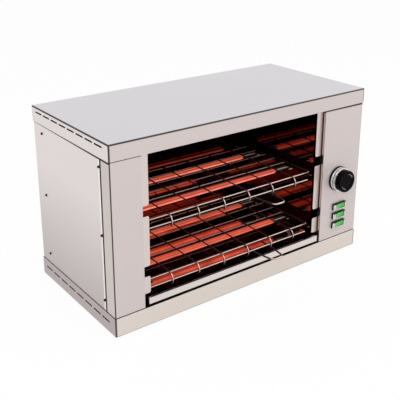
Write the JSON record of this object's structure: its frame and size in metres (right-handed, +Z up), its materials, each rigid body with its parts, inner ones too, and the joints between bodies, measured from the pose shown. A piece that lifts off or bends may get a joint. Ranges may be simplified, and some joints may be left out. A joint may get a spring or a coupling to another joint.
{
  "type": "salamander toaster",
  "caption": "Countertop salamander toaster with an open front, wire racks on rails between quartz heating tubes, a crumb tray, a timer knob and rocker switches.",
  "frame": {"origin": "centre of the box's base, on the plane that the feet stand on", "axes": "+X to the right seen from the front, +Y from the front to the back, +Z up"},
  "size_m": [0.5312, 0.3005, 0.316],
  "materials": {
    "satin_steel": "satin stainless sheet",
    "mirror_steel": "polished stainless sheet",
    "tray_steel": "bright stainless sheet",
    "wire": "chromed wire",
    "screw_steel": "bright steel",
    "quartz": "quartz glass",
    "glowing_coil": "resistance wire, glowing",
    "end_cap": "pale ceramic, matt",
    "knob_black": "black, half gloss",
    "knob_chrome": "bright chrome",
    "dial_black": "black",
    "timer_case": "zinc plated case",
    "bezel_black": "black",
    "green_lens": "translucent green",
    "terminal_white": "ivory",
    "gland_black": "black nylon",
    "lead_insulation": "silicone insulation",
    "foot_rubber": "black rubber"
  },
  "bodies": {
    "cabinet": {"back_panel": "satin_steel", "back_screws": "screw_steel", "base_tray": "satin_steel", "cable_gland": "gland_black", "cavity_back_wall": "mirror_steel", "cavity_ceiling": "mirror_steel", "cavity_left_wall": "mirror_steel", "cavity_right_wall": "mirror_steel", "control_panel": "satin_steel", "dial_plate": "dial_black", "end_caps_bottom_back": "end_cap", "end_caps_bottom_front": "end_cap", "end_caps_middle_back": "end_cap", "end_caps_middle_front": "end_cap", "end_caps_top_back": "end_cap", "end_caps_top_front": "end_cap", "foot_screws": "screw_steel", "gland_nut": "gland_black", "heating_coil_bottom_back": "glowing_coil", "heating_coil_bottom_front": "glowing_coil", "heating_coil_middle_back": "glowing_coil", "heating_coil_middle_front": "glowing_coil", "heating_coil_top_back": "glowing_coil", "heating_coil_top_front": "glowing_coil", "left_front_panel": "satin_steel", "left_side_cover": "satin_steel", "left_side_screws": "screw_steel", "lower_rack_rail_left": "mirror_steel", "lower_rack_rail_right": "mirror_steel", "quartz_tube_bottom_back": "quartz", "quartz_tube_bottom_front": "quartz", "quartz_tube_middle_back": "quartz", "quartz_tube_middle_front": "quartz", "quartz_tube_top_back": "quartz", "quartz_tube_top_front": "quartz", "right_side_cover": "satin_steel", "right_side_screws": "screw_steel", "rubber_feet": "foot_rubber", "switch_housing_1": "bezel_black", "switch_housing_2": "bezel_black", "switch_housing_3": "bezel_black", "terminal_block": "terminal_white", "timer_body": "timer_case", "top_cover": "satin_steel", "tray_runner_left": "mirror_steel", "tray_runner_right": "mirror_steel", "upper_rack_rail_left": "mirror_steel", "upper_rack_rail_right": "mirror_steel", "wiring_loom": "lead_insulation"},
    "upper_rack": {"upper_rack": "wire", "upper_rack_handle": "wire"},
    "lower_rack": {"lower_rack": "wire", "lower_rack_handle": "wire"},
    "crumb_tray": {"crumb_tray": "tray_steel"},
    "timer_knob": {"knob": "knob_black", "knob_ring": "knob_chrome", "timer_shaft": "screw_steel"},
    "rocker_1": {"switch_rocker_1": "green_lens"},
    "rocker_2": {"switch_rocker_2": "green_lens"},
    "rocker_3": {"switch_rocker_3": "green_lens"}
  },
  "joints": [
    {"name": "upper_rack_slide", "type": "slide", "parent": "cabinet", "child": "upper_rack", "axis": [0, -1, 0], "range_m": [0, 0.15]},
    {"name": "lower_rack_slide", "type": "slide", "parent": "cabinet", "child": "lower_rack", "axis": [0, -1, 0], "range_m": [0, 0.15]},
    {"name": "crumb_tray_slide", "type": "slide", "parent": "cabinet", "child": "crumb_tray", "axis": [0, -1, 0], "range_m": [0, 0.18]},
    {"name": "timer_turn", "type": "hinge", "parent": "cabinet", "child": "timer_knob", "pos_m": [0.21, -0.11565, 0.154], "axis": [0, 1, 0], "range_deg": [0, 300]},
    {"name": "rocker_1_tilt", "type": "hinge", "parent": "cabinet", "child": "rocker_1", "pos_m": [0.2163, -0.11505, 0.0984], "axis": [0, 0, -1], "range_deg": [0, 14]},
    {"name": "rocker_2_tilt", "type": "hinge", "parent": "cabinet", "child": "rocker_2", "pos_m": [0.2163, -0.11505, 0.0802], "axis": [0, 0, -1], "range_deg": [0, 14]},
    {"name": "rocker_3_tilt", "type": "hinge", "parent": "cabinet", "child": "rocker_3", "pos_m": [0.2163, -0.11505, 0.0616], "axis": [0, 0, -1], "range_deg": [0, 14]}
  ]
}
